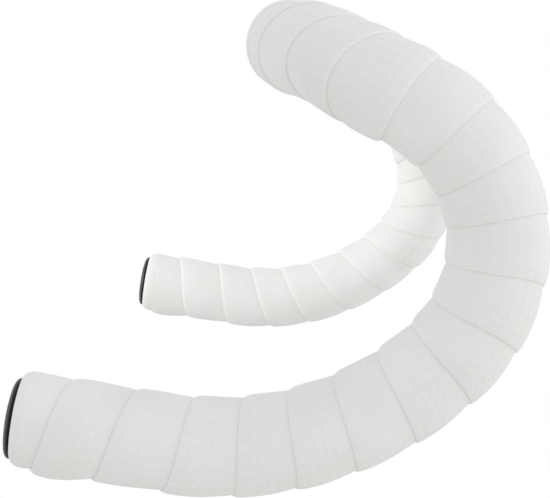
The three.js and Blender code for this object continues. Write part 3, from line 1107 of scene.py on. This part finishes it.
    def build(self) -> bpy.types.Object:
        """Winds the tape.

        Returns:
            The tape's object.
        """
        parts = MeshParts()
        sizes = self.sizes
        angles = FULL_TURN * np.arange(self.columns) / self.columns
        rim = self._ring_radius(angles, self.low)
        roll = self._roll(parts, angles, rim)
        low_ring = self._ring(parts, self.low, rim)
        high_ring = self._ring(parts, self.high, self._ring_radius(angles, self.high))
        self._wind(parts, low_ring, high_ring)
        tail = self.line.sizes.radius + sizes.tail_build
        corner = 0.4 * MM
        outer = [
            self._ring(parts, self.high + sizes.tail_slope, tail),
            self._ring(parts, self.end - corner, tail),
            self._ring(parts, self.end, tail - corner),
        ]
        stations = np.arange(self.end, -0.3 * MM, -5 * MM)
        bore = [self._ring(parts, float(d), self.bore) for d in (*stations, -0.3 * MM)]
        lip_radius = self.line.sizes.radius - self.line.sizes.wall
        lip = [self._ring(parts, d, lip_radius) for d in (-0.3 * MM, -sizes.fold)]
        loop = [high_ring, *outer, *bore, *lip, *roll, low_ring]
        around = FULL_TURN * (self.line.sizes.radius + sizes.thickness)
        for i in range(1, len(loop)):
            parts.bridge(loop[i - 1], loop[i], (i - 1) * MM, i * MM, around)
        return parts.build(self.name, self.side, self.strip_map, self.crease_map)

    def dress(self, piece: bpy.types.Object, material: bpy.types.Material) -> None:
        dress(piece, material, f"tape_{self.side.word}")


@dataclass
class BentTube:
    """The bar itself: drawn leg by leg from its end, mirrored, and given its wall."""

    line: BarLine
    segments: int = 64
    bend_step: float = math.radians(4)
    taper_steps: int = 10
    name: str = "bent_tube"

    def _bend(self, leg: Leg) -> None:
        """Spins the selected ring through one bent leg."""
        at = self.line.bases[leg.value]
        up, inward = self.line.up[leg.value], self.line.inward[leg.value]
        towards = at.above[0] if up > 0 else -at.beside[0]
        middle = at.point[0] + towards / (up + inward)
        angle = self.line.lengths[leg.value] * (up + inward)
        bpy.ops.mesh.spin(
            steps=round(angle / self.bend_step),
            angle=angle,
            center=tuple(middle),
            axis=tuple(np.cross(towards, at.along[0])),
        )

    def _draw_tops(self) -> None:
        """Draws the straight tops, the taper and half of the clamp zone."""
        sizes = self.line.sizes
        taper_end = sizes.clamp_length / 2 + sizes.clamp_taper
        straight = self.line.lengths[Leg.TOPS.value] - taper_end
        extrude((-straight, 0, 0))
        radius = sizes.radius
        for i in range(1, self.taper_steps + 1):
            ease = (1 - math.cos(math.pi * i / self.taper_steps)) / 2
            wider = sizes.radius + (sizes.clamp_radius - sizes.radius) * ease
            extrude((-sizes.clamp_taper / self.taper_steps, 0, 0))
            bpy.ops.transform.resize(value=(1, wider / radius, wider / radius))
            radius = wider
        extrude((-sizes.clamp_length / 2, 0, 0))

    def build(self) -> bpy.types.Object:
        """Models the tube.

        Returns:
            The tube's object.
        """
        sizes = self.line.sizes
        start = self.line.bases[0]
        deselect_all()
        bpy.ops.mesh.primitive_circle_add(vertices=self.segments, radius=sizes.radius)
        piece = bpy.context.active_object
        place(piece, start.point[0], start.along[0])
        take(piece)
        bpy.ops.object.transform_apply(location=True, rotation=True, scale=True)
        with editing(piece):
            bpy.ops.mesh.select_mode(type="EDGE")
            bpy.ops.mesh.select_all(action="SELECT")
            extrude(start.along[0] * self.line.lengths[0])
            self._bend(Leg.DROP_BEND)
            self._bend(Leg.HOOK)
            ramp = self.line.bases[Leg.RAMP.value].along[0]
            extrude(ramp * self.line.lengths[Leg.RAMP.value])
            self._bend(Leg.CORNER)
            self._draw_tops()
            bpy.ops.mesh.select_all(action="SELECT")
            bpy.ops.mesh.remove_doubles(threshold=0.01 * MM)
            bpy.ops.mesh.normals_make_consistent(inside=False)
        self._face_outwards(piece)
        apply_modifier(piece, "MIRROR", use_clip=True, merge_threshold=0.01 * MM)
        apply_modifier(piece, "SOLIDIFY", thickness=sizes.wall, offset=-1, use_even_offset=True)
        return settle(piece, self.name, math.radians(40))

    def _face_outwards(self, piece: bpy.types.Object) -> None:
        """Turns the open tube's faces to point away from its centre line."""
        middle = Vector(self.line.bases[0].point[0])
        along = Vector(self.line.bases[0].along[0])
        face = min(piece.data.polygons, key=lambda f: (f.center - middle).length)
        away = face.center - middle
        away -= along * away.dot(along)
        if face.normal.dot(away) < 0:
            piece.data.flip_normals()

    def dress(self, piece: bpy.types.Object, material: bpy.types.Material) -> None:
        """Gives the tube its material."""
        dress(piece, material, "handlebar_tube")


@dataclass
class EndPlug:
    """A push-in plug with a bevelled cap and a ribbed hollow shank."""

    side: Side
    line: BarLine
    foot: float = 1.5 * MM
    rim_radius: float = 13.4 * MM
    rim_length: float = 0.7 * MM
    face_radius: float = 10.1 * MM
    bevel_length: float = 1.6 * MM
    bevel_steps: int = 5
    crown: float = 0.5 * MM
    core_radius: float = 8.7 * MM
    rib_height: float = 0.9 * MM
    ribs: int = 3
    depth: float = 18 * MM
    shank_wall: float = 1.6 * MM
    segments: int = 72
    rim_map = "rim"

    def build(self) -> bpy.types.Object:
        """Models the plug.

        Returns:
            The plug's object.
        """
        deselect_all()
        bpy.ops.mesh.primitive_cylinder_add(
            vertices=self.segments,
            radius=self.rim_radius,
            depth=self.rim_length,
            location=(0, 0, self.foot + self.rim_length / 2),
        )
        piece = bpy.context.active_object
        take(piece)
        bpy.ops.object.transform_apply(location=True, rotation=True, scale=True)
        with editing(piece):
            self._raise_cap(piece)
            self._sink_shank(piece)
        apply_modifier(
            piece, "BEVEL", width=0.22 * MM, segments=3, limit_method="ANGLE",
            angle_limit=math.radians(28), harden_normals=False,
        )
        self._mark_rim(piece)
        at = self.line.frames(np.zeros(1))
        mirror = np.array([self.side.value, 1, 1])
        place(piece, at.point[0] * mirror, -at.along[0] * mirror)
        return settle(piece, f"bar_end_plug_{self.side.word}", math.radians(35))

    def _raise_cap(self, piece: bpy.types.Object) -> None:
        """Extrudes the cap's bevel and its low crown, with a shallow dish in its middle."""
        pick_faces(piece, lambda face: face.normal.z > 0.9)
        radius, height = self.rim_radius, 0.0
        for i in range(1, self.bevel_steps + 1):
            share = i / self.bevel_steps
            narrower = self.rim_radius - (self.rim_radius - self.face_radius) * share**1.5
            higher = self.bevel_length * math.sin(math.pi / 2 * share) ** 0.8
            extrude_cap(higher - height, narrower / radius)
            radius, height = narrower, higher
        extrude_cap(self.crown * 0.6, 0.88)
        extrude_cap(self.crown * 0.3, 0.72)
        extrude_cap(-self.crown * 0.9, 0.92)
        extrude_cap(-self.crown * 0.1, 0.3)

    def _mark_rim(self, piece: bpy.types.Object) -> None:
        """Marks the rim and what lies under it, where the finish paints shade and makes the plastic
        smoother and less glossy.
        """
        top = self.foot + self.rim_length
        heights = np.array([vertex.co.z for vertex in piece.data.vertices])
        mark = 1 - smoothstep(heights, top - 0.15 * MM, top + 0.45 * MM)
        piece.data.attributes.new(self.rim_map, "FLOAT", "POINT").data.foreach_set("value", mark)

    def _sink_shank(self, piece: bpy.types.Object) -> None:
        """Extrudes the shank with its ribs, and hollows it."""
        under = self.foot + 0.1 * MM
        pick_faces(piece, lambda f: f.normal.z < -0.9 and f.calc_center_median().z < under)
        bpy.ops.mesh.inset(thickness=self.rim_radius - self.core_radius)
        pitch = self.depth / (self.ribs + 1)
        wide = (self.core_radius + self.rib_height) / self.core_radius
        extrude_cap(-self.foot - pitch / 2, 1)
        for i in range(self.ribs):
            extrude_cap(0, wide)
            extrude_cap(-pitch / 2, 1 / wide)
            extrude_cap(-pitch / 2, 1)
        extrude_cap(-pitch / 2, 1)
        bpy.ops.mesh.inset(thickness=self.shank_wall)
        extrude_cap(self.depth, 1)

    def dress(self, piece: bpy.types.Object, material: bpy.types.Material) -> None:
        """Gives the plug its material."""
        dress(piece, material, f"end_plug_{self.side.word}")


@dataclass
class FinishingBand:
    """The thin strip that closes the tape's last turn, with its own end lapped over."""

    side: Side
    inner_radius: float = 14.2 * MM
    thickness: float = 0.55 * MM
    lap_thickness: float = 0.22 * MM
    lap_angle: float = math.radians(70)
    lap_start: float = math.radians(200)
    near: float = 77 * MM
    width: float = 18 * MM
    segments: int = 96

    def _hoop(self, radius: float, width: float) -> bpy.types.Object:
        """An open hoop about the tops."""
        deselect_all()
        bpy.ops.mesh.primitive_cylinder_add(
            vertices=self.segments,
            radius=radius,
            depth=width,
            end_fill_type="NOTHING",
            location=(self.side.value * (self.near + self.width / 2), 0, 0),
            rotation=(0, math.pi / 2, 0),
        )
        piece = bpy.context.active_object
        take(piece)
        bpy.ops.object.transform_apply(location=True, rotation=True, scale=True)
        return piece

    def build(self) -> bpy.types.Object:
        """Models the band and its lapped end.

        Returns:
            The band's object.
        """
        hoop = self._hoop(self.inner_radius, self.width)
        apply_modifier(hoop, "SOLIDIFY", thickness=self.thickness, offset=1)
        lap = self._hoop(self.inner_radius + self.thickness, self.width - 0.8 * MM)
        with editing(lap):
            pick_faces(lap, lambda face: not self._in_lap(face.calc_center_median()))
            bpy.ops.mesh.delete(type="FACE")
        apply_modifier(lap, "SOLIDIFY", thickness=self.lap_thickness, offset=1)
        take(hoop, lap)
        bpy.ops.object.join()
        apply_modifier(
            hoop, "BEVEL", width=0.08 * MM, segments=2, limit_method="ANGLE",
            angle_limit=math.radians(40), harden_normals=False,
        )
        return settle(hoop, f"finishing_band_{self.side.word}", math.radians(35))

    def _in_lap(self, centre: Vector) -> bool:
        """Whether a place on the hoop lies under the lapped end."""
        angle = (math.atan2(centre.z, centre.y) - self.lap_start) % FULL_TURN
        return angle < self.lap_angle

    def dress(self, piece: bpy.types.Object, material: bpy.types.Material) -> None:
        """Gives the band its material."""
        dress(piece, material, f"finishing_tape_{self.side.word}")


# The studio


@dataclass(frozen=True)
class Viewpoint:
    """Where the camera stands and how it looks."""

    place: tuple = (0.78988, 0.01403, -0.01514)
    pitch: float = 0.0902
    yaw: float = 0.0302
    focal_pixels: float = 1794.8
    frame_pixels: int = 550
    sensor: float = 36.0

    def make(self) -> bpy.types.Object:
        """Sets the camera up.

        Returns:
            The camera.
        """
        looking = Matrix(((0, 1, 0), (0, 0, -1), (-1, 0, 0)))
        angle = math.hypot(self.pitch, self.yaw)
        swing = Matrix.Rotation(angle, 3, Vector((self.pitch, self.yaw, 0)))
        right, down, ahead = swing @ looking
        camera = bpy.data.objects.new("camera", bpy.data.cameras.new("camera"))
        bpy.context.scene.collection.objects.link(camera)
        turn = Matrix((right, -down, -ahead)).transposed()
        camera.matrix_world = Matrix.Translation(self.place) @ turn.to_4x4()
        camera.data.sensor_width = self.sensor
        camera.data.lens = self.focal_pixels * self.sensor / self.frame_pixels
        camera.data.clip_start = 0.02
        camera.data.clip_end = 20
        bpy.context.scene.camera = camera
        return camera


@dataclass(frozen=True)
class Studio:
    """A pale room with a brighter wall in front, a round floor and a soft lamp."""

    floor_height: float = -0.62
    floor_radius: float = 1.0
    floor_colour: tuple = (0.82, 0.82, 0.81, 1)
    lamp_spread: float = math.radians(60)
    fade_start: float = 0.55
    far_drop: tuple = (-0.22, -0.01, -0.09)
    lamp_stand: tuple = (0.1, -0.75, 0.12)
    lamp_watts: float = 0.3
    lamp_size: float = 0.3
    room_level: float = 0.85
    front_wall: float = 0.5
    front: tuple = (0, 1, 0)

    def light_room(self) -> None:
        """Lights the object from a level, pale room with one brighter wall in front of the bar."""
        world = bpy.data.worlds.new("room")
        world.use_nodes = True
        bpy.context.scene.world = world
        sheet = Sheet(world.node_tree)
        seen = sheet.add("LightPath", {})
        direct = sheet.math("MAXIMUM", seen.outputs["Is Camera Ray"], seen.outputs["Is Glossy Ray"])
        white = sheet.math("MAXIMUM", direct, seen.outputs["Is Transmission Ray"])
        direction = sheet.add("TexCoord", {}).outputs["Generated"]
        facing = sheet.math("MAXIMUM", sheet.lean(direction, self.front), 0.0)
        glow = sheet.math("POWER", facing, 2.0)
        strength = sheet.math("MULTIPLY_ADD", glow, self.front_wall, self.room_level)
        room = sheet.add("Background", {"Color": (1, 1, 1, 1), "Strength": strength})
        backdrop = sheet.add("Background", {"Color": (1, 1, 1, 1), "Strength": 1.0})
        mix = sheet.add("MixShader", {0: white, 1: room.outputs[0], 2: backdrop.outputs[0]})
        sheet.add("OutputWorld", {"Surface": mix.outputs[0]})

    def lamp(self, name: str, stand: tuple, aim: tuple, watts: float, size: float) -> None:
        """Adds a soft square lamp.

        Args:
            name: The lamp's name.
            stand: Where it stands.
            aim: The place that it looks at.
            watts: Its power.
            size: The length of its side.
        """
        data = bpy.data.lights.new(name, "AREA")
        data.energy = watts
        data.size = size
        data.spread = self.lamp_spread
        lamp = bpy.data.objects.new(name, data)
        bpy.context.scene.collection.objects.link(lamp)
        lamp.visible_camera = False
        turn = (Vector(aim) - Vector(stand)).to_track_quat("-Z", "Y")
        lamp.matrix_world = Matrix.Translation(stand) @ turn.to_matrix().to_4x4()

    def lay_floor(self) -> None:
        """Lays a pale round floor whose rim fades into the backdrop."""
        deselect_all()
        bpy.ops.mesh.primitive_circle_add(
            vertices=128, radius=self.floor_radius, fill_type="NGON",
            location=(0, 0, self.floor_height),
        )
        floor = bpy.context.active_object
        floor.name = "floor"
        sheet, shader = new_material("pale_floor")
        sheet.put(shader, "Base Color", self.floor_colour)
        sheet.put(shader, "Roughness", 0.8)
        start = self.floor_radius * self.fade_start
        away = sheet.add("VectorMath", {0: sheet.object_coordinates()}, operation="LENGTH")
        fade = sheet.ease(away.outputs["Value"], start, self.floor_radius, 0, 1)
        glow = sheet.add("Emission", {"Color": (1, 1, 1, 1), "Strength": 1.0})
        seen = sheet.add("LightPath", {})
        share = sheet.math("MULTIPLY", fade, seen.outputs["Is Camera Ray"])
        mix = sheet.add("MixShader", {0: share, 1: shader.outputs[0], 2: glow.outputs[0]})
        out = next(n for n in sheet.tree.nodes if n.type == "OUTPUT_MATERIAL")
        sheet.put(out, "Surface", mix.outputs[0])
        floor.data.materials.append(material_of("pale_floor"))
        deselect_all()

    def make(self) -> None:
        """Sets up the light and the floor."""
        bpy.context.scene.view_settings.view_transform = "Standard"
        self.light_room()
        where = (self.lamp_stand, self.far_drop)
        self.lamp("lamp_far_drop", *where, self.lamp_watts, self.lamp_size)
        self.lay_floor()


def pitches_by_leg(**pitches: float) -> dict[Leg, float]:
    """How far the wrap climbs in a turn on each leg.

    Args:
        pitches: In millimetres, each under its leg's name in small letters.

    Returns:
        In metres, by leg.
    """
    return {Leg[name.upper()]: pitch * MM for name, pitch in pitches.items()}


def main() -> None:
    """Builds and dresses the handlebar, and sets up the studio round it."""
    logging.basicConfig(level=logging.INFO, format="%(message)s")
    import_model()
    line = BarLine(BarSizes())
    effects = SharedEffects()
    tape_material = TapeFinish().make(effects)
    plug_material = PlugFinish().make(effects)
    band_material = BandFinish().make(effects)
    pitches = {
        Side.RIGHT: pitches_by_leg(
            drop=21.7, drop_bend=18.9, hook=16.7, ramp=16, corner=14, tops=18
        ),
        Side.LEFT: pitches_by_leg(
            drop=22, drop_bend=19.4, hook=17, ramp=16, corner=14, tops=18
        ),
    }
    pieces = [(BentTube(line), AlloyFinish().make(effects))]
    for side in Side:
        pieces.append((TapeWrap(side, line, pitches[side]), tape_material))
        pieces.append((EndPlug(side, line), plug_material))
        pieces.append((FinishingBand(side), band_material))
    for maker, material in pieces:
        piece = maker.build()
        maker.dress(piece, material)
        LOG.info("%s: %d faces", piece.name, len(piece.data.polygons))
    Studio().make()
    Viewpoint().make()


if __name__ == "__main__":
    main()
